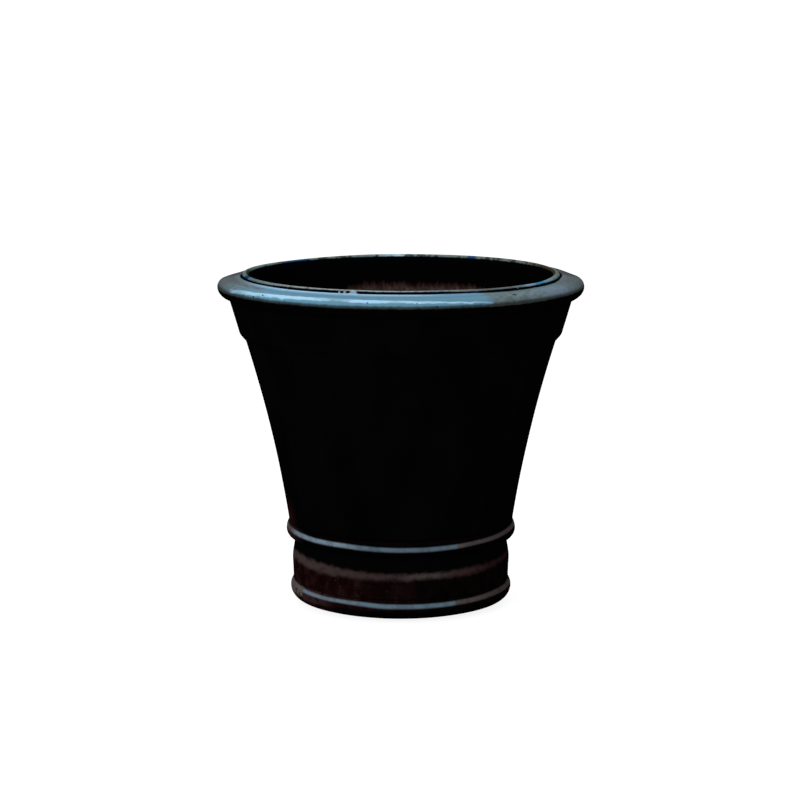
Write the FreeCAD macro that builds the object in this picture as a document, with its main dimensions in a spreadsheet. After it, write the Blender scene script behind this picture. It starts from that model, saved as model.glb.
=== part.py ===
import FreeCAD, Part
import math
import os
from types import SimpleNamespace

import Sketcher

# A flared stoneware planter: a rolled rim round a narrow lip, a collar under the rim, a
# flared wall, a waist ring, a low foot and a moulded base ring round a slab with a drain hole.
# Lengths are in millimetres. The axis of the pot is Z, and the ground is at zero height.
# A radius is measured from the axis, and a height from the ground. A width runs outwards, and
# a rise or a drop runs up or down from the form beside it.

SIZE_TABLE = (
    # the whole pot
    ("total_height", 420.0),
    ("foot_radius", 138.0),
    ("mouth_radius", 190.2),
    ("wall_thickness", 14.5),
    ("slip_joint", 0.3),
    # the floor slab
    ("slab_thickness", 16.0),
    ("drain_radius", 15.0),
    ("drain_bevel", 2.0),
    # the base ring
    ("base_height", 29.3),
    ("base_bulge", 1.7),
    ("base_belly_height", 20.0),
    ("heel_width", 9.8),
    ("heel_height", 5.3),
    ("underside_width", 15.9),
    ("contact_width", 22.0),
    ("ledge_height", 12.0),
    # the foot wall
    ("foot_rise", 53.7),
    ("foot_setback", 1.8),
    ("ridge_setback", 0.9),
    ("spigot_thickness", 7.0),
    ("waist_seat_setback", 4.1),
    ("joint_rise", 4.0),
    # the waist ring
    ("waist_height", 21.0),
    ("waist_width", 11.0),
    ("waist_belly_rise", 10.5),
    # the flared wall
    ("overhang_width", 7.9),
    ("flare_hollow", 5.2),
    ("inside_hollow", 2.7),
    ("lip_width", 9.2),
    ("lip_drop", 35.0),
    ("shoulder_width", 5.6),
    # the collar band
    ("collar_height", 53.5),
    ("collar_lean", 9.9),
    ("collar_edge_width", 7.6),
    ("collar_edge_rise", 8.5),
    ("collar_thickness", 10.6),
    # the rolled rim
    ("rim_height", 26.2),
    ("rim_overhang", 14.4),
    ("rim_under_round", 12.0),
    ("crown_drop", 4.9),
    ("crown_edge_width", 9.5),
    ("lip_rise", 3.8),
    ("seam_width", 1.9),
    ("seam_depth", 3.6),
)

# The soft ridge runs between these shares of the bare height of the foot.
RIDGE_LOW_SHARE = 0.34
RIDGE_HIGH_SHARE = 0.66

# A round stretch turns through this share of a quarter turn.
QUARTER_SHARE = 1.0
BASE_SHOULDER_SHARE = 0.46
WAIST_SHOULDER_SHARE = 0.37

# A round or hollow stretch that shows has more chords than a short or hidden one.
FULL_CHORD_COUNT = 3
SHORT_CHORD_COUNT = 2

DEGREES_IN_A_TURN = 360
UP = FreeCAD.Vector(0, 0, 1)

# The numbers by which a sketch knows the ends of a stretch and its own axes. Its origin is the
# start of the axis across.
WHOLE, START, END, CENTRE = range(4)
ACROSS_AXIS, UPRIGHT_AXIS = range(-1, -3, -1)
ORIGIN = (ACROSS_AXIS, START)

NEARNESS_SHARE = 1e-6


class Size:
    """A length in millimetres, with the sheet formula that gives it."""

    def __init__(self, mm, formula):
        self.mm = mm
        self.formula = formula

    def __add__(self, other):
        return Size(self.mm + other.mm, f"({self.formula} + {other.formula})")

    def __sub__(self, other):
        return Size(self.mm - other.mm, f"({self.formula} - {other.formula})")

    def part(self, share):
        return Size(self.mm * share, f"({self.formula} * {share:.6f})")


AT_ZERO = Size(0, "0")

doc = FreeCAD.newDocument("planter")


def fill_sheet():
    """Writes the size table to the sheet and gives each size back under its name."""
    sheet = doc.addObject("Spreadsheet::Sheet", "sizes")
    named = {}
    for row, (name, mm) in enumerate(SIZE_TABLE, start=1):
        sheet.set(f"A{row}", name)
        sheet.set(f"B{row}", str(mm))
        sheet.setAlias(f"B{row}", name)
        named[name] = Size(mm, f"sizes.{name}")
    return SimpleNamespace(**named)


size = fill_sheet()
doc.recompute()


def add_body(label):
    """A new body, whose label is the name of the piece."""
    body = doc.addObject("PartDesign::Body", label)
    body.Label = label
    return body


def add_sketch(body, name, role):
    """A sketch on the body's own origin plane of that role."""
    sketch = body.newObject("Sketcher::SketchObject", name)
    planes = {plane.Role: plane for plane in body.Origin.OriginFeatures}
    sketch.AttachmentSupport = (planes[role], [""])
    sketch.MapMode = "FlatFace"
    return sketch


def bind(sketch, rule, value):
    """Adds a constraint to the sketch and ties it to the formula of its size."""
    number = sketch.addConstraint(rule)
    name = f"size_{number}"
    sketch.renameConstraint(number, name)
    sketch.setExpression(f"Constraints.{name}", value.formula)


def place(corner):
    """The place of a corner in the plane of a sketch."""
    return FreeCAD.Vector(corner[0].mm, corner[1].mm, 0)


class Outline:
    """A closed outline in an upright sketch, with the radius across and the height up.

    It is drawn from corner to corner, and each corner is bound to the sheet. A round stretch is
    a bow, and a hollow one is a sag. Both are chords between points that a formula gives.
    """

    def __init__(self, body, name, radius, height):
        self.sketch = add_sketch(body, name, "XZ_Plane")
        self.start = (radius, height)
        self.corner = (radius, height)
        self.first = None
        self.last = None

    def pin(self, stretch, end, radius, height):
        """Holds one end of a stretch at its radius and height, or on the axis or the ground."""
        for kind, value, axis in (
            ("DistanceX", radius, UPRIGHT_AXIS),
            ("DistanceY", height, ACROSS_AXIS),
        ):
            if value is AT_ZERO:
                rule = Sketcher.Constraint("PointOnObject", stretch, end, axis)
                self.sketch.addConstraint(rule)
            else:
                rule = Sketcher.Constraint(kind, *ORIGIN, stretch, end, value.mm)
                bind(self.sketch, rule, value)

    def line(self, radius, height):
        """A straight stretch to the next corner, tied to the stretch before it."""
        corner = (radius, height)
        stretch = self.sketch.addGeometry(Part.LineSegment(place(self.corner), place(corner)))
        if self.last is None:
            self.first = stretch
        else:
            rule = Sketcher.Constraint("Coincident", self.last, END, stretch, START)
            self.sketch.addConstraint(rule)
        self.last = stretch
        self.corner = corner
        self.pin(stretch, END, radius, height)
        if corner == self.start:
            rule = Sketcher.Constraint("Coincident", stretch, END, self.first, START)
            self.sketch.addConstraint(rule)

    def bow(self, radius, height, leaves, turned_share, chords):
        """Chords along part of an ellipse that leaves the last corner level or upright."""
        across = radius - self.corner[0]
        up = height - self.corner[1]
        start_radius, start_height = self.corner
        whole = turned_share * math.pi / 2
        for number in range(1, chords):
            angle = whole * number / chords
            along_share = math.sin(angle) / math.sin(whole)
            away_share = (1 - math.cos(angle)) / (1 - math.cos(whole))
            shares = (along_share, away_share)
            if leaves == "upright":
                shares = (away_share, along_share)
            self.line(
                start_radius + across.part(shares[0]),
                start_height + up.part(shares[1]),
            )
        self.line(radius, height)

    def sag(self, radius, height, depth, chords):
        """Chords along a shallow curve that hangs towards the axis by a depth at its middle."""
        across = radius - self.corner[0]
        up = height - self.corner[1]
        start_radius, start_height = self.corner
        for number in range(1, chords):
            along_share = number / chords
            depth_share = 4 * along_share * (1 - along_share)
            self.line(
                start_radius + across.part(along_share) - depth.part(depth_share),
                start_height + up.part(along_share),
            )
        self.line(radius, height)


def turn(body, kind, name, outline):
    """Turns an outline a full turn round the axis of the pot."""
    feature = body.newObject(kind, name)
    feature.Profile = outline.sketch
    feature.ReferenceAxis = (outline.sketch, ["V_Axis"])
    feature.Angle = DEGREES_IN_A_TURN
    doc.recompute()
    return feature


def dress_edge(body, kind, name, feature, radius, height, bound, value):
    """Rounds or bevels the circular edge of a feature at this radius and height."""
    found = [
        f"Edge{number}"
        for number, edge in enumerate(feature.Shape.Edges, start=1)
        if isinstance(edge.Curve, Part.Circle)
        and math.isclose(edge.Curve.Radius, radius.mm, rel_tol=NEARNESS_SHARE)
        and math.isclose(edge.Curve.Center.z, height.mm, rel_tol=NEARNESS_SHARE)
    ]
    dressing = body.newObject(kind, name)
    dressing.Base = (feature, found)
    dressing.setExpression(bound, value.formula)


# Radii and heights where pieces meet, so that each piece takes them from the same sizes.
bore_radius = size.foot_radius - size.wall_thickness
base_top_radius = size.foot_radius - size.foot_setback
spigot_radius = bore_radius + size.spigot_thickness
waist_seat_radius = size.foot_radius - size.waist_seat_setback
flare_foot_radius = waist_seat_radius + size.overhang_width
neck_radius = size.mouth_radius + size.lip_width
collar_back_radius = neck_radius + size.shoulder_width
collar_foot_radius = collar_back_radius - size.collar_lean

waist_low_height = size.base_height + size.foot_rise
flare_foot_height = waist_low_height + size.waist_height
joint_height = flare_foot_height + size.joint_rise
rim_seat_height = size.total_height - size.lip_rise - size.rim_height
collar_foot_height = rim_seat_height - size.collar_height


def make_floor_slab():
    """The rolled slab that closes the bottom, with a drain hole bevelled on its upper side."""
    body = add_body("floor_slab")
    sketch = add_sketch(body, "slab_circles", "XY_Plane")
    sketch.setExpression(".AttachmentOffset.Base.z", size.ledge_height.formula)
    for radius in (bore_radius - size.slip_joint, size.drain_radius):
        circle = sketch.addGeometry(Part.Circle(FreeCAD.Vector(), UP, radius.mm))
        rule = Sketcher.Constraint("Coincident", circle, CENTRE, *ORIGIN)
        sketch.addConstraint(rule)
        bind(sketch, Sketcher.Constraint("Radius", circle, radius.mm), radius)
    slab = body.newObject("PartDesign::Pad", "slab")
    slab.Profile = sketch
    slab.setExpression("Length", size.slab_thickness.formula)
    doc.recompute()
    top = size.ledge_height + size.slab_thickness
    dress_edge(body, "PartDesign::Chamfer", "drain_bevel", slab, size.drain_radius, top,
               "Size", size.drain_bevel)
    return body


def make_base_ring():
    """The moulded ring that stands on the ground and carries the slab and the foot wall."""
    body = add_body("base_ring")
    belly = size.foot_radius + size.base_bulge
    heel = belly - size.heel_width
    contact = heel - size.underside_width
    inner = contact - size.contact_width
    socket = spigot_radius + size.slip_joint
    ring = Outline(body, "ring_outline", inner, AT_ZERO)
    ring.line(contact, AT_ZERO)
    ring.line(heel, size.heel_height)
    ring.bow(belly, size.base_belly_height, "level", QUARTER_SHARE, FULL_CHORD_COUNT)
    ring.bow(base_top_radius, size.base_height, "upright", BASE_SHOULDER_SHARE,
             SHORT_CHORD_COUNT)
    ring.line(socket, size.base_height)
    ring.line(socket, size.ledge_height)
    ring.line(inner, size.ledge_height)
    ring.line(inner, AT_ZERO)
    turn(body, "PartDesign::Revolution", "ring", ring)
    return body


def make_foot_wall():
    """The wall of the foot: a spigot in the base ring, a soft ridge, and a bevelled top."""
    body = add_body("foot_wall")
    spigot_end = size.ledge_height + size.slip_joint
    ridge_radius = size.foot_radius - size.ridge_setback
    wall = Outline(body, "wall_outline", bore_radius, spigot_end)
    wall.line(spigot_radius, spigot_end)
    wall.line(spigot_radius, size.base_height)
    wall.line(base_top_radius, size.base_height)
    for share in (RIDGE_LOW_SHARE, RIDGE_HIGH_SHARE):
        wall.line(ridge_radius, size.base_height + size.foot_rise.part(share))
    wall.line(waist_seat_radius, waist_low_height)
    wall.line(waist_seat_radius, flare_foot_height)
    wall.line(bore_radius, joint_height)
    wall.line(bore_radius, spigot_end)
    turn(body, "PartDesign::Revolution", "wall", wall)
    return body


def make_waist_ring():
    """The coil pressed round the top of the foot, under the overhang of the flared wall."""
    body = add_body("waist_ring")
    back = waist_seat_radius + size.slip_joint
    coil = Outline(body, "coil_outline", back, waist_low_height)
    belly_height = waist_low_height + size.waist_belly_rise
    coil.bow(waist_seat_radius + size.waist_width, belly_height, "level", QUARTER_SHARE,
             FULL_CHORD_COUNT)
    coil.bow(flare_foot_radius, flare_foot_height, "upright", WAIST_SHOULDER_SHARE,
             SHORT_CHORD_COUNT)
    coil.line(back, flare_foot_height)
    coil.line(back, waist_low_height)
    turn(body, "PartDesign::Revolution", "coil", coil)
    return body


def make_flared_wall():
    """The main wall: it sits on the bevelled foot, flares, and ends in a narrow rounded lip."""
    body = add_body("flared_wall")
    lip_round = size.lip_width.part(0.5)
    lip_side = size.total_height - lip_round
    outside = Outline(body, "outside", AT_ZERO, flare_foot_height)
    outside.line(flare_foot_radius, flare_foot_height)
    outside.sag(collar_foot_radius, collar_foot_height, size.flare_hollow, FULL_CHORD_COUNT)
    outside.line(collar_back_radius, rim_seat_height)
    outside.line(neck_radius, rim_seat_height)
    outside.line(neck_radius, lip_side)
    outside.bow(size.mouth_radius + lip_round, size.total_height, "upright", QUARTER_SHARE,
                SHORT_CHORD_COUNT)
    outside.bow(size.mouth_radius, lip_side, "level", QUARTER_SHARE, SHORT_CHORD_COUNT)
    outside.line(AT_ZERO, lip_side)
    outside.line(AT_ZERO, flare_foot_height)
    turn(body, "PartDesign::Revolution", "turned_outside", outside)

    inside = Outline(body, "inside", AT_ZERO, flare_foot_height)
    inside.line(waist_seat_radius + size.slip_joint, flare_foot_height)
    inside.line(bore_radius, joint_height + size.slip_joint)
    inside.sag(size.mouth_radius, size.total_height - size.lip_drop, size.inside_hollow,
               SHORT_CHORD_COUNT)
    inside.line(size.mouth_radius, lip_side)
    inside.line(AT_ZERO, lip_side)
    inside.line(AT_ZERO, flare_foot_height)
    turn(body, "PartDesign::Groove", "hollowed_inside", inside)
    return body


def make_collar_band():
    """The band luted on round the top of the wall, with a bevelled lower edge."""
    body = add_body("collar_band")
    foot = collar_foot_radius + size.slip_joint
    band = Outline(body, "band_outline", foot, collar_foot_height)
    band.line(collar_foot_radius + size.collar_edge_width,
              collar_foot_height + size.collar_edge_rise)
    band.line(collar_back_radius + size.collar_thickness, rim_seat_height)
    band.line(collar_back_radius + size.slip_joint, rim_seat_height)
    band.line(foot, collar_foot_height)
    turn(body, "PartDesign::Revolution", "band", band)
    return body


def make_rolled_rim():
    """The heavy rim: it sits on the collar and the wall, and leaves a seam round the lip."""
    body = add_body("rolled_rim")
    bore = neck_radius + size.slip_joint
    widest = collar_back_radius + size.collar_thickness + size.rim_overhang
    crest = rim_seat_height + size.rim_height
    rim = Outline(body, "rim_outline", bore, rim_seat_height)
    rim.line(widest - size.rim_under_round, rim_seat_height)
    rim.bow(widest, rim_seat_height + size.rim_under_round, "level", QUARTER_SHARE,
            FULL_CHORD_COUNT)
    rim.bow(widest - size.crown_edge_width, crest - size.crown_drop, "upright",
            QUARTER_SHARE, FULL_CHORD_COUNT)
    rim.line(neck_radius + size.seam_width, crest)
    rim.line(bore, crest - size.seam_depth)
    rim.line(bore, rim_seat_height)
    turn(body, "PartDesign::Revolution", "rim", rim)
    return body


def check_and_write(bodies):
    """Stops at anything that failed or is left loose, then writes one file for each piece."""
    doc.recompute()
    for thing in doc.Objects:
        if {"Invalid", "Error"} & set(thing.State):
            raise RuntimeError(f"{thing.Label} failed: {thing.State}")
        if thing.isDerivedFrom("Sketcher::SketchObject") and not thing.FullyConstrained:
            raise RuntimeError(f"{thing.Label} has a corner that no size holds")
    os.makedirs("parts", exist_ok=True)
    for body in bodies:
        shape = body.Shape
        if shape.isNull() or not shape.isValid() or len(shape.Solids) != 1:
            raise RuntimeError(f"{body.Label} isn't one sound solid")
        shape.exportStep(f"parts/{body.Label}.step")
        box = shape.optimalBoundingBox()
        print(f"{body.Label}: radius {box.XMax:.1f}, height {box.ZMin:.1f} to {box.ZMax:.1f}")


check_and_write(
    [
        make_floor_slab(),
        make_base_ring(),
        make_foot_wall(),
        make_waist_ring(),
        make_flared_wall(),
        make_collar_band(),
        make_rolled_rim(),
    ]
)
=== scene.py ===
import math

import bpy
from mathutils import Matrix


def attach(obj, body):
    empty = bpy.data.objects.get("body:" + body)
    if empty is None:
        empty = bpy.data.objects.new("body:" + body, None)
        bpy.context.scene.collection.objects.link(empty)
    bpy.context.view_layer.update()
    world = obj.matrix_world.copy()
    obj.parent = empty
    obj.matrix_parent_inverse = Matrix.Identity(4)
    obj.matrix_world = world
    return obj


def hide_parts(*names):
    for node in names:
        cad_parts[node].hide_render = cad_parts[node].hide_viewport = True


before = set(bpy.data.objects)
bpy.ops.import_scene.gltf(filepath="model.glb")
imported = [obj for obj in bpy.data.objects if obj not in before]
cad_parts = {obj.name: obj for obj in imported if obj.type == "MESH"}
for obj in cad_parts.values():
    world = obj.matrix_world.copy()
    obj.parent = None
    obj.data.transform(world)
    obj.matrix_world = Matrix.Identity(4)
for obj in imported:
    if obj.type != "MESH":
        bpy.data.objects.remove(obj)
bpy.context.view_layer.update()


# Floor slab: a rolled disc of bare stoneware that closes the bottom, with a bevelled drain hole.
# It is luted inside the foot and never glazed, so the clay shows its grog and the marks of the
# wooden rib that pressed it down.
MM_IN_A_METRE = 1000
SMOOTH_UP_TO_DEGREES = 50
SLAB_TURNS = 192
SLAB_OUTLINE = [
    (17.2, 27.8), (15.4, 26.2), (15.0, 25.2), (15.0, 13.2), (15.6, 12.2), (16.8, 12.0),
    (60.0, 12.0), (110.0, 12.0), (121.4, 12.0), (122.9, 13.2), (123.0, 20.0), (122.9, 27.2),
    (121.6, 27.9), (112.0, 27.5), (100.0, 27.8), (84.0, 27.3), (70.0, 27.7), (54.0, 27.2),
    (40.0, 27.6), (28.0, 27.3), (21.0, 27.6),
]


def throw(name, outline, turns):
    """Throws a closed ring of clay: one loop of the outline after another, each pulled from the
    last. The outline holds radii and heights in millimetres."""
    bpy.ops.object.select_all(action="DESELECT")
    radius, height = outline[0]
    bpy.ops.mesh.primitive_circle_add(
        vertices=turns, radius=radius / MM_IN_A_METRE, location=(0, 0, height / MM_IN_A_METRE)
    )
    piece = bpy.context.object
    piece.name = name
    bpy.ops.object.transform_apply(location=True, rotation=True, scale=True)
    bpy.ops.object.mode_set(mode="EDIT")
    bpy.ops.mesh.select_mode(type="VERT")
    bpy.ops.mesh.select_all(action="SELECT")
    for next_radius, next_height in outline[1:]:
        bpy.ops.mesh.extrude_edges_move()
        growth = next_radius / radius
        bpy.ops.transform.resize(value=(growth, growth, 1), center_override=(0, 0, 0))
        bpy.ops.transform.translate(value=(0, 0, (next_height - height) / MM_IN_A_METRE))
        radius, height = next_radius, next_height
    bpy.ops.mesh.select_all(action="DESELECT")
    bpy.ops.mesh.select_non_manifold()
    bpy.ops.mesh.bridge_edge_loops()
    bpy.ops.mesh.select_all(action="SELECT")
    bpy.ops.mesh.normals_make_consistent(inside=False)
    bpy.ops.object.mode_set(mode="OBJECT")
    return piece


def take_up(piece):
    """Takes up one piece and lays all others down."""
    bpy.ops.object.select_all(action="DESELECT")
    piece.select_set(True)
    bpy.context.view_layer.objects.active = piece


def knead(piece, name, size, depth):
    """Presses soft, shallow hollows into a piece, as hands leave them, and never swells it. Their
    size and depth are in metres."""
    hollows = bpy.data.textures.new(name, "CLOUDS")
    hollows.noise_scale = size
    hollows.noise_depth = 1
    press = piece.modifiers.new(name, "DISPLACE")
    press.texture = hollows
    press.texture_coords = "LOCAL"
    press.direction = "NORMAL"
    press.strength = depth
    press.mid_level = 1.0
    take_up(piece)
    bpy.ops.object.modifier_apply(modifier=press.name)


def seat(piece, finishes, node):
    """Smooths a piece, gives it its finishes and seats it on the pot in place of its solid."""
    take_up(piece)
    bpy.ops.object.shade_smooth_by_angle(angle=math.radians(SMOOTH_UP_TO_DEGREES))
    piece.data.materials.clear()
    for finish in finishes:
        piece.data.materials.append(finish)
    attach(piece, "root")
    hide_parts(node)


def tone(red, green, blue):
    """The light in a colour, whose parts are from 0 to 255, by the usual curve of a screen."""
    shares = [part / 255 for part in (red, green, blue)]
    return tuple(
        share / 12.92 if share < 0.0404 else ((share + 0.055) / 1.055) ** 2.4 for share in shares
    )


class Finish:
    """A fired surface, built up in layers over the pot's own coordinates, in metres."""

    def __init__(self, name, roughness, gloss):
        self.material = bpy.data.materials.new(name)
        self.material.use_nodes = True
        self.nodes = self.material.node_tree.nodes
        self.links = self.material.node_tree.links
        self.shader = self.nodes["Principled BSDF"]
        self.shader.inputs["Roughness"].default_value = roughness
        self.shader.inputs["Specular IOR Level"].default_value = gloss
        self.place = self.nodes.new("ShaderNodeTexCoord").outputs["Object"]

    def wire(self, socket, value):
        """Feeds a socket from another one, or with a plain number or colour."""
        if isinstance(value, bpy.types.NodeSocket):
            self.links.new(value, socket)
        elif isinstance(value, tuple) and len(value) == 3 and socket.type == "RGBA":
            socket.default_value = (*value, 1)
        else:
            socket.default_value = value

    def noise(self, scale, detail, stretch=(1, 1, 1)):
        """A noise of so many features to the metre, stretched along the axes."""
        mapping = self.nodes.new("ShaderNodeMapping")
        mapping.inputs["Scale"].default_value = stretch
        self.links.new(self.place, mapping.inputs["Vector"])
        noise = self.nodes.new("ShaderNodeTexNoise")
        noise.inputs["Scale"].default_value = scale
        noise.inputs["Detail"].default_value = detail
        self.links.new(mapping.outputs["Vector"], noise.inputs["Vector"])
        return noise.outputs["Fac"]

    def rise(self, source, low, high):
        """A soft step from 0 at low to 1 at high, which may lie below low."""
        step = self.nodes.new("ShaderNodeMapRange")
        step.interpolation_type = "SMOOTHSTEP"
        self.wire(step.inputs["Value"], source)
        self.wire(step.inputs["From Min"], low)
        self.wire(step.inputs["From Max"], high)
        return step.outputs["Result"]

    def blend(self, share, first, second):
        """Goes from the first colour to the second by a share from 0 to 1."""
        mix = self.nodes.new("ShaderNodeMix")
        mix.data_type = "RGBA"
        self.wire(mix.inputs["Factor"], share)
        colours = [socket for socket in mix.inputs if socket.type == "RGBA"]
        for socket, colour in zip(colours, (first, second)):
            self.wire(socket, colour)
        return next(socket for socket in mix.outputs if socket.type == "RGBA")

    def ramp(self, source, *stops):
        """Colours along a source; each stop is a value of the source and a colour."""
        low, high = stops[0][0], stops[-1][0]
        spread = self.nodes.new("ShaderNodeMapRange")
        self.wire(spread.inputs["Value"], source)
        spread.inputs["From Min"].default_value = low
        spread.inputs["From Max"].default_value = high
        ramp = self.nodes.new("ShaderNodeValToRGB")
        elements = ramp.color_ramp.elements
        elements.remove(elements[-1])
        elements[0].position = 0
        elements[0].color = (*stops[0][1], 1)
        for value, colour in stops[1:]:
            elements.new((value - low) / (high - low)).color = (*colour, 1)
        self.links.new(spread.outputs["Result"], ramp.inputs["Fac"])
        return ramp.outputs["Color"]

    def skin(self, source, depth):
        """Raises the surface a little by a source, at most by the depth."""
        bump = self.nodes.new("ShaderNodeBump")
        bump.inputs["Strength"].default_value = 1.0
        bump.inputs["Distance"].default_value = depth
        self.links.new(source, bump.inputs["Height"])
        self.links.new(bump.outputs["Normal"], self.shader.inputs["Normal"])

    def fire(self, colour):
        """Lays the colour on the shader and returns the finished material."""
        self.links.new(colour, self.shader.inputs["Base Color"])
        return self.material


def brick(finish):
    """Fired, unglazed stoneware: brick brown with darker flashing and pale grains of grog."""
    colour = finish.ramp(
        finish.noise(9, 4), (0.30, tone(78, 52, 42)), (0.50, tone(106, 76, 62)),
        (0.70, tone(130, 100, 82)),
    )
    grog = finish.rise(finish.noise(700, 3), 0.60, 0.68)
    return finish.blend(grog, colour, tone(158, 136, 116))


def make_bare_clay():
    """Bare brick clay with a dry, gritty skin."""
    clay = Finish("bare clay", roughness=0.85, gloss=0.2)
    clay.skin(clay.noise(900, 3), 0.0006)
    return clay.fire(brick(clay))


slab = throw("floor_slab_clay", SLAB_OUTLINE, SLAB_TURNS)
knead(slab, "slab hollows", size=0.05, depth=0.0006)
seat(slab, [make_bare_clay()], "floor_slab")


# Base ring: a stoneware ring with a moulded edge, luted under the foot, which carries the slab on
# its ledge. A thin dark oxblood glaze covers it down to the heel. A pale blue grey line along its
# crest is partly glaze that ran thin and mostly a painted highlight, and painted shade blackens it
# below its belly. The ring of contact is wiped bare.
BASE_TURNS = 256
DEGREES_IN_A_RADIAN = math.degrees(1)
GLAZE_ROUGHNESS = 0.3
GLAZE_GLOSS = 0.0
CREST_EDGE = 0.0012
CREST_FALL = (0.0036, 0.0004)


class Glaze(Finish):
    """A finish whose layers go by the height, the radius and the bearing on the pot. The bearing
    is in degrees: 0 in front, 90 on the right and 180 at the back."""

    def __init__(self, name, roughness=GLAZE_ROUGHNESS):
        super().__init__(name, roughness, GLAZE_GLOSS)
        self.axes = self.nodes.new("ShaderNodeSeparateXYZ")
        self.links.new(self.place, self.axes.inputs["Vector"])
        self.height = self.axes.outputs["Z"]
        level = self.nodes.new("ShaderNodeMapping")
        level.inputs["Scale"].default_value = (1, 1, 0)
        self.links.new(self.place, level.inputs["Vector"])
        length = self.nodes.new("ShaderNodeVectorMath")
        length.operation = "LENGTH"
        self.links.new(level.outputs["Vector"], length.inputs[0])
        self.radius = length.outputs["Value"]
        turn = self.maths("ARCTAN2", self.axes.outputs["X"],
                          self.maths("MULTIPLY", self.axes.outputs["Y"], -1))
        self.bearing = self.maths("MULTIPLY", turn, DEGREES_IN_A_RADIAN)

    def maths(self, kind, first, second=0.0, third=0.0):
        """One step of arithmetic."""
        step = self.nodes.new("ShaderNodeMath")
        step.operation = kind
        for socket, value in zip(step.inputs, (first, second, third)):
            self.wire(socket, value)
        return step.outputs["Value"]

    def waver(self, noise, width):
        """Turns a noise into a number that strays as far below zero as above it."""
        return self.maths("MULTIPLY_ADD", noise, width, -width / 2)

    def times(self, *shares):
        """The product of some shares."""
        whole = shares[0]
        for share in shares[1:]:
            whole = self.maths("MULTIPLY", whole, share)
        return whole

    def both_sides(self, first, last):
        """A soft step from the first bearing to the last, the same on both sides of the pot."""
        return self.rise(self.maths("ABSOLUTE", self.bearing), first, last)

    def between(self, first, last):
        """A mark that runs round the pot from the first bearing to the last."""
        return self.times(self.rise(self.bearing, first - 1.0, first + 0.5),
                          self.rise(self.bearing, last + 1.0, last - 0.5))

    def shift(self, number, *moves):
        """Moves a number by some amounts, each one times its own share."""
        for share, amount in moves:
            number = self.maths("MULTIPLY_ADD", share, amount, number)
        return number

    def blend_number(self, share, first, second):
        """Goes from the first number to the second by a share from 0 to 1."""
        mix = self.nodes.new("ShaderNodeMix")
        numbers = [socket for socket in mix.inputs if socket.type == "VALUE"]
        for socket, number in zip(numbers, (share, first, second)):
            self.wire(socket, number)
        return mix.outputs["Result"]


def arc(centre, radius, first, last, steps):
    """Points on an arc round a centre, with its radius in millimetres and turns in degrees."""
    turns = [math.radians(first + (last - first) * step / steps) for step in range(steps + 1)]
    return [
        (centre[0] + radius * math.cos(turn), centre[1] + radius * math.sin(turn))
        for turn in turns
    ]


BASE_OUTLINE = (
    [(92.0, 10.8), (92.0, 1.2), (92.4, 0.4), (93.2, 0.0), (106.0, 0.0), (110.0, 0.25),
     (114.0, 0.8), (118.0, 1.55), (122.0, 2.6), (126.0, 3.85)]
    + arc((124.1, 20.0), 15.95, -67.4, 0, 14)
    + arc((125.9, 20.0), 14.15, 3, 41.3, 8)
    + [(135.4, 29.3), (131.0, 29.3), (131.0, 12.2), (130.6, 12.0), (93.0, 12.0)]
)


def crest_line(glaze, colour, middle, right_climb, halves, highlight_colours):
    """A pale line along a crest, partly glaze that broke thin there and mostly a painted highlight,
    which climbs a little towards the sides as a highlight does. It is blue grey where it paints a
    reflection of a cool light, and turns to a dim brown on the right, past that light's edge. The
    halves of its width are given for the left, the front and the right, and its highlight colours
    for the front and the left."""
    wander = glaze.waver(glaze.noise(30, 3), 0.0010)
    climb = glaze.shift(
        0.0, (glaze.rise(glaze.bearing, 4, 96), right_climb),
        (glaze.rise(glaze.bearing, -2, -34), 0.0022),
        (glaze.rise(glaze.bearing, -38, -90), 0.0034),
    )
    near = glaze.both_sides(165, 120)
    level = glaze.maths("SUBTRACT", glaze.maths("ADD", glaze.height, wander),
                        glaze.times(climb, near))
    left = glaze.times(glaze.rise(glaze.bearing, -14, -34), near)
    right = glaze.times(glaze.rise(glaze.bearing, 14, 44), near)
    width = glaze.blend_number(left, halves[1], halves[0])
    width = glaze.blend_number(right, width, halves[2])
    off = glaze.maths("ABSOLUTE", glaze.maths("SUBTRACT", level, middle))
    line = glaze.rise(off, glaze.maths("ADD", width, CREST_EDGE),
                      glaze.maths("SUBTRACT", width, CREST_EDGE))
    patchy_highlight = glaze.shift(0.75, (glaze.rise(glaze.noise(90, 4), 0.38, 0.56), 0.25))
    # Blue grey in front paints a reflection of a cool light; past 29 degrees on the right the
    # painted highlight is dim brown.
    blue = glaze.times(glaze.rise(glaze.bearing, 29.5, 28), glaze.rise(glaze.bearing, -74, -60))
    blue = glaze.maths("MAXIMUM", blue, glaze.both_sides(105, 130))
    fall = glaze.rise(level, middle - CREST_FALL[0], middle - CREST_FALL[1])
    painted_highlight = glaze.blend(left, *highlight_colours)
    cool = glaze.blend(fall, tone(68, 68, 74), painted_highlight)
    warm = glaze.blend(fall, tone(60, 48, 48), tone(88, 80, 79))
    warm = glaze.blend(glaze.rise(glaze.bearing, 32, 58), warm, tone(70, 60, 60))
    return glaze.blend(glaze.times(line, patchy_highlight), colour, glaze.blend(blue, warm, cool))


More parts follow.
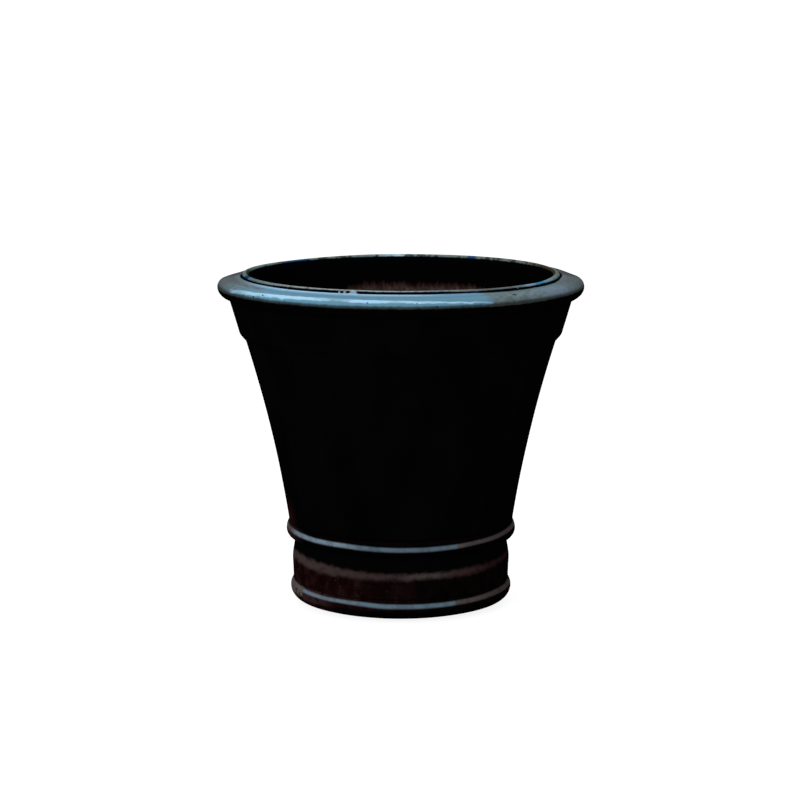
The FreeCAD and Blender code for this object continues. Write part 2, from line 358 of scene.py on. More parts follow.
def thin_glaze(glaze):
    """A thin iron glaze: near black, and oxblood with fine specks towards the left."""
    left = glaze.times(glaze.rise(glaze.bearing, 26, -52), glaze.rise(glaze.bearing, -168, -125))
    patch = glaze.times(glaze.both_sides(110, 150), glaze.rise(glaze.noise(6, 2), 0.40, 0.58))
    left = glaze.maths("MAXIMUM", left, patch)
    mottle = glaze.noise(70, 5, (1, 1, 0.7))
    red = glaze.ramp(
        mottle, (0.34, tone(18, 3, 4)), (0.50, tone(25, 8, 8)), (0.64, tone(38, 20, 19)),
    )
    dark = glaze.ramp(mottle, (0.36, tone(4, 3, 3)), (0.62, tone(11, 6, 5)))
    colour = glaze.blend(left, dark, red)
    speck = glaze.times(left, glaze.rise(glaze.noise(260, 2), 0.64, 0.70))
    return glaze.blend(speck, colour, tone(46, 28, 26))


def make_base_glaze():
    """The thin glaze with a painted highlight along its crest and painted shade below its belly,
    over a heel that was wiped clean.
    """
    glaze = Glaze("base ring glaze")
    colour = thin_glaze(glaze)
    # Painted shade: below its belly, where it faces down, the ring is painted near black, except on
    # the left.
    dark = glaze.maths("MAXIMUM", glaze.rise(glaze.bearing, -44, -30), glaze.both_sides(110, 140))
    low = glaze.rise(glaze.height, 0.019, 0.013)
    colour = glaze.blend(glaze.times(dark, low), colour, tone(5, 3, 3))
    haze = glaze.times(glaze.rise(glaze.bearing, -34, -50), glaze.rise(glaze.bearing, -120, -98),
                       glaze.rise(glaze.height, 0.0125, 0.0150),
                       glaze.rise(glaze.noise(140, 4), 0.34, 0.50), 0.8)
    colour = glaze.blend(haze, colour, tone(56, 38, 38))
    colour = crest_line(
        glaze, colour, middle=0.0217, right_climb=0.0048, halves=(0.0022, 0.00285, 0.0028),
        highlight_colours=(tone(98, 118, 132), tone(106, 120, 130)),
    )
    smear = glaze.times(glaze.between(-98, -62), glaze.rise(glaze.height, 0.0162, 0.0187),
                        glaze.rise(glaze.height, 0.0300, 0.0275),
                        glaze.rise(glaze.noise(110, 4), 0.36, 0.50), 0.85)
    colour = glaze.blend(smear, colour, tone(92, 84, 81))
    edge = glaze.shift(0.1135, (glaze.noise(60, 4), 0.004))
    wiped = glaze.rise(glaze.radius, glaze.maths("ADD", edge, 0.0006), edge)
    wiped = glaze.times(wiped, glaze.rise(glaze.height, 0.016, 0.009))
    colour = glaze.blend(wiped, colour, brick(glaze))
    glaze.skin(glaze.noise(420, 2), 0.00025)
    return glaze.fire(colour)


base_ring = throw("base_ring_clay", BASE_OUTLINE, BASE_TURNS)
knead(base_ring, "base hollows", size=0.045, depth=0.0003)
seat(base_ring, [make_base_glaze()], "base_ring")


# Foot wall: the low wall of the foot, thrown with a soft ridge, its spigot set in the base ring.
# The same thin glaze covers it: black above the ridge, and oxblood with fine specks below; a
# dull brown painted highlight lies along the ridge.
FOOT_OUTLINE = [
    (123.6, 14.0), (124.4, 12.4), (129.8, 12.4), (130.4, 14.0), (130.4, 28.8), (130.9, 29.5),
    (135.2, 29.5), (136.3, 29.9), (136.5, 31.0), (136.65, 34.0), (136.85, 40.0), (137.1, 46.0),
    (137.35, 50.0), (137.55, 53.5), (137.6, 57.0), (137.4, 60.5), (137.0, 64.0), (136.4, 68.0),
    (135.7, 72.0), (135.0, 76.0), (134.4, 80.0), (133.9, 83.5), (133.8, 88.0), (133.8, 103.6),
    (133.2, 104.3), (124.4, 107.6), (123.7, 107.2), (123.6, 100.0), (123.9, 86.0), (123.6, 72.0),
    (124.0, 58.0), (123.6, 44.0), (123.9, 30.0),
]


def make_foot_glaze():
    """The thin glaze, with a dull brown painted highlight along the ridge."""
    glaze = Glaze("foot wall glaze")
    colour = thin_glaze(glaze)
    level = glaze.maths("ADD", glaze.height, glaze.waver(glaze.noise(120, 4), 0.007))
    near = glaze.both_sides(160, 110)
    climb = glaze.shift(
        0.0, (glaze.rise(glaze.bearing, -5, -72), 0.0070),
        (glaze.rise(glaze.bearing, 5, 45), 0.0025), (glaze.rise(glaze.bearing, 52, 90), 0.0050),
    )
    top = glaze.maths("SUBTRACT", level, glaze.times(climb, near))
    climb = glaze.shift(
        0.0, (glaze.rise(glaze.bearing, -38, -76), 0.0050),
        (glaze.rise(glaze.bearing, 0, 12), 0.0011), (glaze.rise(glaze.bearing, 38, 80), 0.0070),
    )
    low = glaze.maths("SUBTRACT", level, glaze.times(climb, near))
    colour = glaze.blend(glaze.rise(top, 0.0600, 0.0640), colour, tone(3, 4, 3))
    # A painted highlight: a soft dull band along the ridge, brightest just right of the front and
    # fading round to the right.
    ridge = glaze.times(glaze.rise(top, 0.0650, 0.0586), glaze.rise(low, 0.0508, 0.0584))
    sheen_noise = glaze.rise(glaze.noise(75, 5, (1, 1, 1.6)), 0.30, 0.54)
    sheen_strength = glaze.shift(0.55, (sheen_noise, 0.45))
    ridge_sheen = glaze.ramp(
        glaze.bearing, (-180, tone(58, 48, 46)), (-85, tone(68, 56, 54)), (-40, tone(63, 50, 49)),
        (-5, tone(58, 45, 44)), (8, tone(70, 59, 57)), (17, tone(73, 65, 63)),
        (24, tone(61, 47, 47)), (40, tone(54, 36, 37)), (54, tone(42, 25, 26)),
        (85, tone(30, 19, 19)), (180, tone(58, 48, 46)),
    )
    colour = glaze.blend(glaze.times(ridge, sheen_strength), colour, ridge_sheen)
    inner = glaze.rise(glaze.radius, 0.1275, 0.1255)
    colour = glaze.blend(inner, colour, brick(glaze))
    glaze.skin(glaze.noise(420, 2), 0.00025)
    return glaze.fire(colour)


foot_wall = throw("foot_wall_clay", FOOT_OUTLINE, BASE_TURNS)
knead(foot_wall, "foot hollows", size=0.05, depth=0.0004)
seat(foot_wall, [make_foot_glaze()], "foot_wall")


# Waist ring: a coil of stoneware pressed round the top of the foot, where the two thrown parts
# meet. It is glazed black, and a pale line along its crest is partly glaze that ran thin in the
# kiln and mostly a painted highlight.
WAIST_OUTLINE = (
    [(134.3, 90.0), (134.3, 84.2)]
    + arc((134.8, 93.6), 10.35, -88, 0, 12)
    + arc((125.85, 93.6), 19.3, 3, 32.0, 9)
    + [(140.8, 103.9), (135.0, 103.9), (134.3, 103.4), (134.3, 97.0)]
)


def make_waist_glaze():
    """Black glaze with a breath of maroon, and a painted highlight along its crest."""
    glaze = Glaze("waist ring glaze")
    left = glaze.times(glaze.rise(glaze.bearing, -54, -72), glaze.rise(glaze.bearing, -150, -110))
    above = glaze.times(glaze.rise(glaze.height, 0.097, 0.100), glaze.both_sides(60, 25),
                        glaze.rise(glaze.noise(45, 3), 0.42, 0.58))
    colour = glaze.blend(above, tone(3, 3, 3), tone(10, 4, 4))
    colour = glaze.blend(left, colour, tone(34, 20, 20))
    colour = crest_line(
        glaze, colour, middle=0.0937, right_climb=0.0076, halves=(0.0029, 0.0029, 0.00245),
        highlight_colours=(tone(89, 107, 120), tone(120, 136, 149)),
    )
    glaze.skin(glaze.noise(420, 2), 0.00025)
    return glaze.fire(colour)


waist_ring = throw("waist_ring_clay", WAIST_OUTLINE, BASE_TURNS)
knead(waist_ring, "waist hollows", size=0.045, depth=0.0003)
seat(waist_ring, [make_waist_glaze()], "waist_ring")


# Flared wall: the tall thrown wall, set on the bevelled foot and drawn out to the mouth, where it
# ends in a narrow rounded lip. A black gloss glaze covers the outside and a hand's breadth of the
# inside, where it ran down in drips over bare red clay.
WALL_TURNS = 480
WALL_STEPS = 26
INSIDE_STEPS = 68
THROWING_RIPPLE = 0.45
LIP_CENTRE = (194.8, 415.2)
LIP_GLAZE_FROM = 408.5
INSIDE_FINISH = 1
LIP_FINISH = 2
FINGERTIP = 2.0
TOUCHES_IN_A_SPREAD = 18


def flare(foot, top, hollow, steps, ripple=0.0):
    """Points up a wall that hangs in towards the axis by the hollow at its middle, with the
    ripples that the thrower's fingers leave, four points to each."""
    points = []
    for step in range(steps + 1):
        share = step / steps
        points.append((
            foot[0] + (top[0] - foot[0]) * share - 4 * hollow * share * (1 - share)
            + ripple * math.sin(step * math.pi / 2),
            foot[1] + (top[1] - foot[1]) * share,
        ))
    return points


WALL_OUTLINE = (
    [(134.6, 104.2), (140.6, 104.2)]
    + flare((141.8, 105.2), (195.2, 336.0), 4.6, WALL_STEPS)
    + [(196.8, 347.0), (200.4, 366.0), (204.4, 388.6), (203.9, 389.5), (200.4, 389.6),
       (199.3, 390.4), (199.3, 405.0), (199.3, 413.0)]
    + arc(LIP_CENTRE, 4.5, 6, 174, 12)
    + [(190.3, 411.0), (190.2, 400.0), (190.1, 388.0)]
    + flare((189.6, 383.0), (124.2, 110.4), 3.0, INSIDE_STEPS, THROWING_RIPPLE)
    + [(124.6, 108.8), (125.8, 107.9)]
)


def make_wall_glaze():
    """A black gloss glaze, with maroon at its lower left where it thins."""
    glaze = Glaze("wall glaze")
    runs = glaze.noise(26, 4, (1, 1, 0.3))
    colour = glaze.ramp(runs, (0.35, tone(3, 3, 3)), (0.65, tone(5, 5, 5)))
    thin = glaze.times(
        glaze.rise(glaze.bearing, -62, -76), glaze.rise(glaze.height, 0.150, 0.112),
        glaze.rise(glaze.bearing, -150, -120),
    )
    colour = glaze.blend(thin, colour, tone(32, 13, 14))
    return glaze.fire(colour)


def make_inside_glaze():
    """The inside: black glaze that ran down from the lip in drips, over bare red clay."""
    glaze = Glaze("inside glaze over clay", roughness=0.6)
    back = glaze.maths("MAXIMUM", glaze.rise(glaze.bearing, 112, 152),
                       glaze.rise(glaze.bearing, -128, -166))
    drips = glaze.waver(glaze.noise(240, 5, (1, 1, 0.12)), 0.016)
    pour = glaze.waver(glaze.noise(24, 2, (1, 1, 0.1)), 0.030)
    pour = glaze.times(pour, glaze.maths("SUBTRACT", 1.0, back))
    level = glaze.maths("ADD", glaze.height, glaze.maths("ADD", drips, pour))
    edge = glaze.shift(0.343, (back, 0.040))
    off = glaze.maths("SUBTRACT", edge, level)
    streaks = glaze.noise(150, 5, (1, 1, 0.2))
    clay = glaze.ramp(
        streaks, (0.32, tone(46, 30, 26)), (0.50, tone(66, 53, 50)), (0.68, tone(86, 75, 71)),
    )
    fresh = glaze.ramp(streaks, (0.35, tone(28, 10, 10)), (0.62, tone(44, 27, 23)))
    clay = glaze.blend(glaze.rise(off, 0.002, 0.010), fresh, clay)
    clay = glaze.blend(glaze.rise(off, 0.040, 0.200), clay, brick(glaze))
    colour = glaze.blend(glaze.rise(off, -0.0008, 0.0022), tone(5, 4, 4), clay)
    glaze.skin(streaks, 0.0005)
    return glaze.fire(colour)


def section_turn(glaze, centre):
    """The turn round a centre of the section, in degrees: 0 outwards and 90 up."""
    outwards = glaze.maths("SUBTRACT", glaze.radius, centre[0] / MM_IN_A_METRE)
    upwards = glaze.maths("SUBTRACT", glaze.height, centre[1] / MM_IN_A_METRE)
    turn = glaze.maths("ARCTAN2", upwards, outwards)
    return glaze.maths("MULTIPLY", turn, DEGREES_IN_A_RADIAN)


def spot(glaze, bearing, radius, height, size):
    """A small round mark at a place on the pot, given in degrees and millimetres."""
    away = glaze.nodes.new("ShaderNodeVectorMath")
    away.operation = "DISTANCE"
    glaze.links.new(glaze.place, away.inputs[0])
    turn = math.radians(bearing)
    reach = radius / MM_IN_A_METRE
    away.inputs[1].default_value = (
        reach * math.sin(turn), -reach * math.cos(turn), height / MM_IN_A_METRE
    )
    edge = size / MM_IN_A_METRE
    return glaze.rise(away.outputs["Value"], edge, edge / 2)


def dot(glaze, colour, mark, *places):
    """Lays small round marks of one colour, each given by its bearing, radius, height and size."""
    for place in places:
        colour = glaze.blend(spot(glaze, *place), colour, mark)
    return colour


def drop_over_seam(glaze, colour):
    """Drops of pale glaze that ran across the seam between the lip and the rim."""
    return dot(
        glaze, colour, tone(138, 164, 178), (-16.5, 199.8, 417.0, 5.6), (-19.6, 199.6, 417.0, 2.6),
        (-21.6, 199.6, 417.0, 2.0), (45.2, 199.6, 417.0, 2.0),
    )


def make_lip_glaze():
    """The lip: a milky glaze over its crest, cream and blue by turns, olive where it is thin, with
    painted highlights in the blue marks on the right, painted shade down its outer side, which dips
    into the seam, and dark glaze down its inner side."""
    glaze = Glaze("lip glaze")
    turn = glaze.maths(
        "ADD", section_turn(glaze, LIP_CENTRE), glaze.waver(glaze.noise(200, 4), 20)
    )
    colour = glaze.ramp(
        glaze.bearing, (-180, tone(168, 200, 212)), (-168, tone(104, 116, 112)),
        (-65, tone(88, 104, 108)), (-42, tone(140, 146, 144)), (0, tone(146, 156, 160)),
        (30, tone(90, 94, 86)), (58, tone(110, 132, 144)), (90, tone(98, 104, 100)),
        (168, tone(104, 116, 112)), (180, tone(168, 200, 212)),
    )
    fleck = glaze.noise(110, 4)
    thin_fleck = glaze.times(glaze.rise(fleck, 0.50, 0.66), 0.6)
    colour = glaze.blend(thin_fleck, colour, tone(90, 84, 68))
    colour = glaze.blend(glaze.times(glaze.rise(fleck, 0.46, 0.34), 0.7), colour,
                         tone(88, 118, 134))
    bare = glaze.times(glaze.both_sides(96, 112), glaze.rise(glaze.noise(75, 4), 0.50, 0.58), 0.85)
    colour = glaze.blend(bare, colour, tone(40, 38, 30))
    thin = glaze.times(glaze.both_sides(58, 76), glaze.both_sides(128, 110),
                       glaze.rise(turn, 92, 116), glaze.rise(glaze.bearing, -108, -92))
    colour = glaze.blend(thin, colour, tone(54, 46, 28))
    # The blue marks from 50 to 71 degrees on the right are painted highlights on the bead; the
    # others are the glaze's own blue.
    for first, last, blue in (
        (-77.5, -72.0, (22, 58, 100)), (50.0, 56.0, (124, 142, 164)), (56.6, 62.5, (60, 122, 158)),
        (63.0, 71.0, (100, 132, 146)), (-141.5, -129.0, (28, 70, 108)),
        (149.5, 152.5, (28, 70, 108)),
    ):
        colour = glaze.blend(glaze.between(first, last), colour, tone(*blue))
    near = glaze.both_sides(130, 110)
    outer = glaze.shift(
        34, (glaze.times(glaze.rise(glaze.bearing, -36, -29), glaze.rise(glaze.bearing, 20, 8)), 7),
        (glaze.times(glaze.rise(glaze.bearing, -42, -56), near), -13),
        (glaze.times(glaze.rise(glaze.bearing, 14, 24), near), -15),
        (glaze.times(glaze.rise(glaze.bearing, 40, 54), glaze.both_sides(100, 85)), -12),
    )
    # Painted shade down the outer side of the lip into the seam; the dark on the inner side is the
    # glaze's own.
    seam_shade_and_dark_inside = glaze.times(glaze.rise(turn, outer, glaze.maths("ADD", outer, 22)),
                        glaze.rise(turn, 170, 146))
    dark = glaze.blend(glaze.rise(turn, 60, 100), tone(2, 5, 8), tone(4, 4, 4))
    colour = drop_over_seam(glaze, glaze.blend(seam_shade_and_dark_inside, dark, colour))
    glaze.skin(glaze.noise(140, 3), 0.0003)
    return glaze.fire(colour)


def push(piece, bearing, radius, height, spread, down, inward=0.0):
    """Pushes the soft clay down round one place, up where down is below zero, and in towards the
    axis. All sizes are in millimetres."""
    turn = math.radians(bearing)
    out = (math.sin(turn), -math.cos(turn))
    reach = radius / MM_IN_A_METRE
    spot = (reach * out[0], reach * out[1], height / MM_IN_A_METRE)
    touch = max(FINGERTIP, spread / TOUCHES_IN_A_SPREAD) / MM_IN_A_METRE
    pull = -inward / MM_IN_A_METRE
    take_up(piece)
    bpy.ops.object.mode_set(mode="EDIT")
    bpy.ops.mesh.select_all(action="DESELECT")
    bpy.ops.object.mode_set(mode="OBJECT")
    for vertex in piece.data.vertices:
        vertex.select = math.dist(vertex.co, spot) < touch
    bpy.ops.object.mode_set(mode="EDIT")
    bpy.ops.transform.translate(
        value=(pull * out[0], pull * out[1], -down / MM_IN_A_METRE),
        use_proportional_edit=True, proportional_edit_falloff="SMOOTH",
        proportional_size=spread / MM_IN_A_METRE,
    )
    bpy.ops.object.mode_set(mode="OBJECT")


flared_wall = throw("flared_wall_clay", WALL_OUTLINE, WALL_TURNS)
knead(flared_wall, "wall hollows", size=0.09, depth=0.0005)
for bearing, radius, height, spread, down in (
    (44, 195, 419.5, 100, 1.2), (64, 195, 419.3, 60, 1.0), (-135, 195, 419.5, 150, 1.3),
    (-15, 196, 419.4, 16, -0.3),
):
    push(flared_wall, bearing, radius, height, spread, down)
seat(flared_wall, [make_wall_glaze(), make_inside_glaze(), make_lip_glaze()],
     "flared_wall")
for face in flared_wall.data.polygons:
    faces_the_axis = face.normal.x * face.center.x + face.normal.y * face.center.y < 0
    if face.center.z > LIP_GLAZE_FROM / MM_IN_A_METRE:
        face.material_index = LIP_FINISH
    elif faces_the_axis:
        face.material_index = INSIDE_FINISH


# Collar band: a band of clay luted round the top of the wall to carry the rim. It is glazed
# black with the wall, and its bevelled lower edge stands out only in the outline.
COLLAR_OUTLINE = [
    (195.7, 337.2), (196.2, 336.8), (201.6, 342.8), (202.7, 344.6), (203.3, 346.4),
    (204.0, 349.0), (206.8, 358.6), (210.0, 369.4), (213.0, 379.4), (215.6, 388.6),
    (215.2, 389.7), (206.0, 389.8), (205.5, 389.2), (202.4, 374.0), (199.0, 355.0),
]
collar_band = throw("collar_band_clay", COLLAR_OUTLINE, WALL_TURNS)
knead(collar_band, "collar hollows", size=0.06, depth=0.0004)
seat(collar_band, [flared_wall.data.materials[0]], "collar_band")


# Rolled rim: the heavy rim, rolled outwards and set on the collar round the lip. A milky blue
# glaze lies thick on its crown; in front its blue is partly a painted reflection of a cool light.
# Painted shade darkens it down the roll, through dull brown grey to black underneath, and in the
# seam at the lip, and a pale streak along the crown's outer edge is a painted highlight.
RIM_CORE = (212.0, 402.0)
RIM_OUTLINE = (
    [(199.8, 391.2), (200.6, 390.2), (217.0, 390.2)]
    + arc((217.9, 402.1), 11.95, -86, 0, 14)
    + arc((219.0, 402.1), 10.85, 5, 60, 10)
    + [(223.2, 412.0), (221.6, 412.6), (219.6, 412.95), (216.0, 413.5), (211.0, 414.4),
       (206.5, 415.3), (203.4, 415.95), (202.2, 416.1), (201.4, 415.9), (200.8, 415.2),
       (200.3, 413.6), (199.8, 411.8), (199.8, 404.0)]
)


def wisp_noise(glaze, section, scale, squeeze):
    """A noise drawn out round the pot, over the bearing and the turn of a rounded section."""
    spread = glaze.nodes.new("ShaderNodeCombineXYZ")
    for axis in "XY":
        side = glaze.axes.outputs[axis]
        glaze.links.new(glaze.maths("DIVIDE", side, glaze.radius), spread.inputs[axis])
    drawn = glaze.maths("MULTIPLY", section, squeeze)
    glaze.links.new(drawn, spread.inputs["Z"])
    noise = glaze.nodes.new("ShaderNodeTexNoise")
    noise.inputs["Scale"].default_value = scale
    noise.inputs["Detail"].default_value = 5
    glaze.links.new(spread.outputs["Vector"], noise.inputs["Vector"])
    return noise.outputs["Fac"]


def hump(glaze, centre, reach, top, fall):
    """A number that is highest at one bearing and has fallen by so much a reach away."""
    away = glaze.maths("MULTIPLY_ADD", glaze.bearing, 1 / reach, -centre / reach)
    return glaze.maths("MULTIPLY_ADD", glaze.maths("MULTIPLY", away, away), -fall, top)


def blue_and_grey(glaze, turn, bearing, wisps, back):
    """The ground of the rim: milky blue in front and at the back, wan grey on the right, and dull
    and patchy at both sides. In front the blue is partly the glaze's own and partly a painted
    reflection of a cool light, which ends sharply near 28 degrees right. It is painted darker down
    the roll, which is painted shade, and paler by the seam, which is a painted highlight. The wisps
    are the long and the short ones."""
    long_wisps, short_wisps = wisps
    # Painted shade darkens the blue down the roll towards the underside; the pale end by the seam
    # is a painted highlight.
    blue = glaze.ramp(
        turn, (2, tone(36, 39, 38)), (5, tone(54, 66, 70)), (8, tone(48, 72, 84)),
        (15, tone(100, 144, 164)), (34, tone(98, 138, 154)), (60, tone(98, 134, 152)),
        (88, tone(90, 128, 150)), (106, tone(108, 150, 176)), (121, tone(150, 184, 208)),
    )
    # Right of the front, the painted highlight by the seam gives way to an even blue.
    seam_highlight_ends = glaze.times(glaze.rise(glaze.bearing, 2, 20), glaze.rise(turn, 92, 110))
    blue = glaze.blend(seam_highlight_ends, blue, tone(98, 136, 164))
    wan = glaze.ramp(
        short_wisps, (0.34, tone(90, 99, 96)), (0.50, tone(99, 115, 118)),
        (0.66, tone(109, 124, 132)),
    )
    violet = glaze.times(glaze.rise(bearing, 46, 54), glaze.rise(bearing, 68, 60))
    wan = glaze.blend(glaze.times(violet, 0.6), wan, tone(108, 122, 142))
    patchy = glaze.ramp(
        long_wisps, (0.38, tone(72, 92, 94)), (0.50, tone(84, 84, 88)), (0.60, tone(88, 80, 78)),
    )
    wan = glaze.blend(glaze.times(glaze.both_sides(58, 80), 0.8), wan, patchy)
    # Painted shade: the grey darkens down the roll towards the underside.
    grey = glaze.blend(glaze.rise(turn, 22, 6), wan, tone(52, 55, 55))
    grey = glaze.blend(glaze.rise(turn, 100, 120), grey, tone(92, 106, 110))
    # In front the blue is partly a painted reflection of a cool light, ending sharply near 28
    # degrees right.
    front = glaze.times(glaze.rise(bearing, 29.5, 26), glaze.rise(bearing, -76, -42))
    return glaze.blend(glaze.maths("MAXIMUM", front, back), grey, blue)


def painted_highlight_streak(glaze, turn, bearing, long_wisps, back):
    """The share of the pale streak along the outer edge of the rim's crown, a painted highlight."""
    middle = glaze.blend_number(back, hump(glaze, -20, 45, 35, 18), 40.0)
    half = glaze.blend_number(back, hump(glaze, -35, 55, 12.5, 7.5), 9.0)
    wavy = glaze.maths("ADD", turn, glaze.waver(long_wisps, 18))
    off = glaze.maths("ABSOLUTE", glaze.maths("SUBTRACT", wavy, middle))
    streak = glaze.rise(off, half, glaze.maths("MULTIPLY", half, 0.45))
    lit = glaze.times(glaze.rise(glaze.bearing, 29.5, 26), glaze.rise(bearing, -70, -58))
    gap = glaze.times(glaze.rise(bearing, -24, -21), glaze.rise(bearing, -14, -17), 0.55)
    streak = glaze.times(streak, glaze.maths("MAXIMUM", lit, glaze.times(back, 0.6)),
                         glaze.maths("SUBTRACT", 1.0, gap))
    full = glaze.maths("MAXIMUM", glaze.shift(0.75, (glaze.both_sides(62, 44), 0.25)), back)
    streak_patches = glaze.shift(0.60, (glaze.rise(long_wisps, 0.36, 0.52), 0.40))
    return glaze.times(streak, glaze.times(streak_patches, full))


def stains_and_side_shade(glaze, colour, turn, wisps):
    """Grey clouds and brown wisps on the left in the glaze, and painted shade in a dark patch at
    each side, past its middle.
    """
    long_wisps, short_wisps = wisps
    cloud = glaze.times(glaze.rise(long_wisps, 0.54, 0.68), glaze.rise(turn, 30, 60), 0.45)
    colour = glaze.blend(cloud, colour, tone(106, 116, 118))
    brown = glaze.times(glaze.between(-98, -52), glaze.rise(turn, 62, 76),
                        glaze.rise(turn, 112, 100), glaze.rise(short_wisps, 0.42, 0.56), 0.7)
    colour = glaze.blend(brown, colour, tone(92, 86, 84))
    # Painted shade: a dark patch at each side of the rim, from about 85 to 125 degrees.
    far = glaze.times(glaze.both_sides(84, 96), glaze.both_sides(126, 108), 0.7)
    return glaze.blend(far, colour, tone(62, 60, 63))


def paint_shade_at_edges(glaze, colour, turn):
    """Painted shade: black under the roll, and dark in the seam beside the lip, brownish at the far
    right.
    """
    right = glaze.times(glaze.rise(glaze.bearing, 42, 60), glaze.both_sides(130, 110))
    under = glaze.shift(turn, (right, -4.0))
    colour = glaze.blend(glaze.rise(under, 2, -3), colour, tone(4, 3, 3))
    brownish_seam = glaze.between(72, 112)
    seam = glaze.shift(
        126.5,
        (glaze.times(glaze.rise(glaze.bearing, 16, 32), glaze.rise(glaze.bearing, 80, 68)), -6.5),
        (glaze.times(glaze.rise(glaze.bearing, 14, 24), glaze.rise(glaze.bearing, 44, 34)), -4.5),
        (glaze.between(-100, -24), 3.2), (brownish_seam, -3.0),
    )
    return glaze.blend(glaze.rise(turn, seam, glaze.maths("ADD", seam, 5.0)), colour,
                       glaze.blend(brownish_seam, tone(4, 8, 12), tone(44, 20, 22)))


def make_rim_glaze():
    """The milky glaze of the rim, with a painted highlight streak, stains, painted shade at its
    edges and sides, and drops, and with pinholes and blue specks."""
    glaze = Glaze("rim glaze")
    round_section = section_turn(glaze, RIM_CORE)
    long_wisps = wisp_noise(glaze, round_section, scale=9, squeeze=0.005)
    short_wisps = wisp_noise(glaze, round_section, scale=30, squeeze=0.002)
    wisps = (long_wisps, short_wisps)
    turn = glaze.maths("ADD", round_section, glaze.waver(glaze.noise(150, 4), 8))
    drift = glaze.waver(short_wisps, 20)
    bearing = glaze.maths("ADD", glaze.bearing, glaze.maths("MULTIPLY", drift, 0.5))
    back = glaze.rise(glaze.maths("ADD", glaze.maths("ABSOLUTE", glaze.bearing), drift), 108, 138)
    colour = blue_and_grey(glaze, turn, bearing, wisps, back)
    painted_highlight = painted_highlight_streak(glaze, turn, bearing, long_wisps, back)
    # A painted highlight: the pale streak along the crown's outer edge.
    colour = glaze.blend(painted_highlight, colour, tone(166, 206, 232))
    colour = stains_and_side_shade(glaze, colour, turn, wisps)
    colour = paint_shade_at_edges(glaze, colour, turn)
    colour = drop_over_seam(glaze, colour)
    colour = dot(
        glaze, colour, tone(14, 22, 34), (-46.8, 227.2, 409.3, 1.6), (-50.8, 229.2, 406.1, 1.8),
        (-39.2, 229.9, 403.1, 1.4), (10.8, 229.7, 404.6, 1.5), (38.2, 219.0, 412.3, 3.4),
        (-7.0, 216.0, 413.4, 1.1), (4.8, 227.7, 408.7, 1.1), (18.5, 229.9, 403.1, 1.1),
    )
    colour = dot(
        glaze, colour, tone(36, 104, 196), (-10.0, 227.4, 409.3, 1.7), (-12.2, 227.9, 408.7, 1.2),
    )
    glaze.skin(glaze.noise(140, 3), 0.0003)
    return glaze.fire(colour)


rolled_rim = throw("rolled_rim_clay", RIM_OUTLINE, WALL_TURNS)
knead(rolled_rim, "rim hollows", size=0.05, depth=0.0005)
for bearing, radius, height, spread, down, inward in (
    (44, 201.5, 416, 70, 1.2, 0), (64, 201.5, 416, 60, 1.0, 0), (-109, 222, 411, 95, 3.2, 0),
    (104, 224, 410, 65, 1.5, 0), (-16.5, 201.2, 415.9, 8, -1.0, 1.7),
):
    push(rolled_rim, bearing, radius, height, spread, down, inward)
seat(rolled_rim, [make_rim_glaze()], "rolled_rim")


# Studio: a pale floor that runs out to white, a broad soft light above and behind, another from
# the left front, both a little cool, and the camera in front, above the rim and looking down. Its
# places and sizes are in metres.
FLOOR_WIDTH = 160
FLOOR_DROP = 0.0002
FLOOR_GREY = 0.62
PAPER_GREY = 0.30
PAPER_GLOW = 0.88
SOFT_LIGHT = 0.60
SOFT_LIGHT_COLOUR = (0.95, 0.98, 1.0, 1)
CAMERA_PLACE = (-0.001, -3.486, 0.837)
CAMERA_DIP_DEGREES = 9.46
LENS = 126
SENSOR_WIDTH = 36


def white_to_eye(nodes, links, plain, bright):
    """Shows the bright shader to the eye, in gloss and through glass, and the plain one to light
    that falls on the pot."""
    rays = nodes.new("ShaderNodeLightPath")
    shown = rays.outputs["Is Camera Ray"]
    for kind in ("Is Glossy Ray", "Is Transmission Ray"):
        either = nodes.new("ShaderNodeMath")
        either.operation = "MAXIMUM"
        links.new(shown, either.inputs[0])
        links.new(rays.outputs[kind], either.inputs[1])
        shown = either.outputs[0]
    mix = nodes.new("ShaderNodeMixShader")
    links.new(shown, mix.inputs["Fac"])
    links.new(plain, mix.inputs[1])
    links.new(bright, mix.inputs[2])
    return mix.outputs[0]


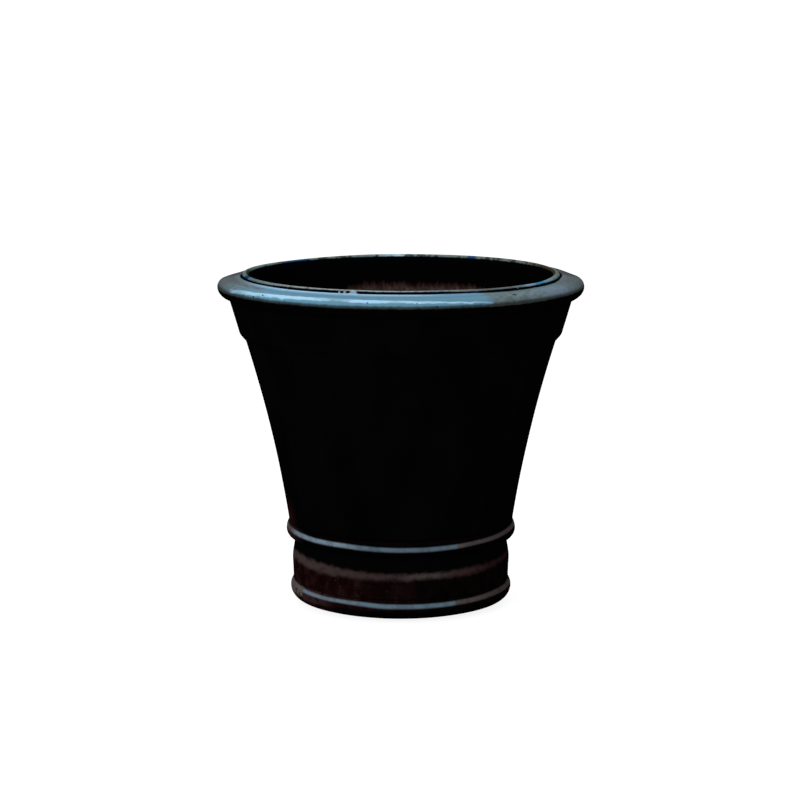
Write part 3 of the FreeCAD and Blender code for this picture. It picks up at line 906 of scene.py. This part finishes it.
def make_floor():
    """A pale floor that is white to the eye and keeps a soft shadow under the pot."""
    bpy.ops.object.select_all(action="DESELECT")
    bpy.ops.mesh.primitive_plane_add(size=FLOOR_WIDTH, location=(0, 0, -FLOOR_DROP))
    floor = bpy.context.object
    floor.name = "studio_floor"
    bpy.ops.object.transform_apply(location=True, rotation=True, scale=True)
    material = bpy.data.materials.new("studio floor")
    material.use_nodes = True
    nodes = material.node_tree.nodes
    links = material.node_tree.links
    nodes.clear()
    plain = nodes.new("ShaderNodeBsdfDiffuse")
    plain.inputs["Color"].default_value = (FLOOR_GREY, FLOOR_GREY, FLOOR_GREY, 1)
    paper = nodes.new("ShaderNodeBsdfDiffuse")
    paper.inputs["Color"].default_value = (PAPER_GREY, PAPER_GREY, PAPER_GREY, 1)
    glow = nodes.new("ShaderNodeEmission")
    glow.inputs["Strength"].default_value = PAPER_GLOW
    bright = nodes.new("ShaderNodeAddShader")
    links.new(paper.outputs[0], bright.inputs[0])
    links.new(glow.outputs[0], bright.inputs[1])
    out = nodes.new("ShaderNodeOutputMaterial")
    links.new(white_to_eye(nodes, links, plain.outputs[0], bright.outputs[0]),
              out.inputs["Surface"])
    floor.data.materials.append(material)


def make_world():
    """White surroundings to the eye and in the gloss, and a gentle even light on the pot."""
    world = bpy.data.worlds.new("studio")
    bpy.context.scene.world = world
    world.use_nodes = True
    nodes = world.node_tree.nodes
    links = world.node_tree.links
    nodes.clear()
    soft = nodes.new("ShaderNodeBackground")
    soft.inputs["Color"].default_value = SOFT_LIGHT_COLOUR
    soft.inputs["Strength"].default_value = SOFT_LIGHT
    white = nodes.new("ShaderNodeBackground")
    white.inputs["Strength"].default_value = 1.0
    out = nodes.new("ShaderNodeOutputWorld")
    links.new(white_to_eye(nodes, links, soft.outputs[0], white.outputs[0]),
              out.inputs["Surface"])


def add_softbox(name, place, aim_height, width, height, power, colour):
    """A soft rectangular light that faces a point on the axis of the pot."""
    bpy.ops.object.select_all(action="DESELECT")
    bpy.ops.object.light_add(type="AREA", location=place)
    lamp = bpy.context.object
    lamp.name = name
    lamp.data.shape = "RECTANGLE"
    lamp.data.size = width
    lamp.data.size_y = height
    lamp.data.energy = power
    lamp.data.color = colour
    lamp.visible_camera = False
    aim = lamp.location.copy()
    aim.negate()
    aim.z += aim_height
    lamp.rotation_euler = aim.to_track_quat("-Z", "Y").to_euler()


make_floor()
make_world()
add_softbox("top softbox", place=(-0.10, 0.55, 2.1), aim_height=0.4, width=1.3, height=0.9,
            power=18, colour=(0.88, 0.95, 1.0))
add_softbox("front softbox", place=(-1.3, -2.3, 1.1), aim_height=0.25, width=1.4, height=1.4,
            power=26, colour=(0.93, 0.97, 1.0))

bpy.ops.object.select_all(action="DESELECT")
bpy.ops.object.camera_add(
    location=CAMERA_PLACE, rotation=(math.radians(90 - CAMERA_DIP_DEGREES), 0, 0)
)
camera = bpy.context.object
camera.data.lens = LENS
camera.data.sensor_width = SENSOR_WIDTH
bpy.context.scene.camera = camera
bpy.context.scene.view_settings.view_transform = "Standard"

bpy.context.view_layer.update()
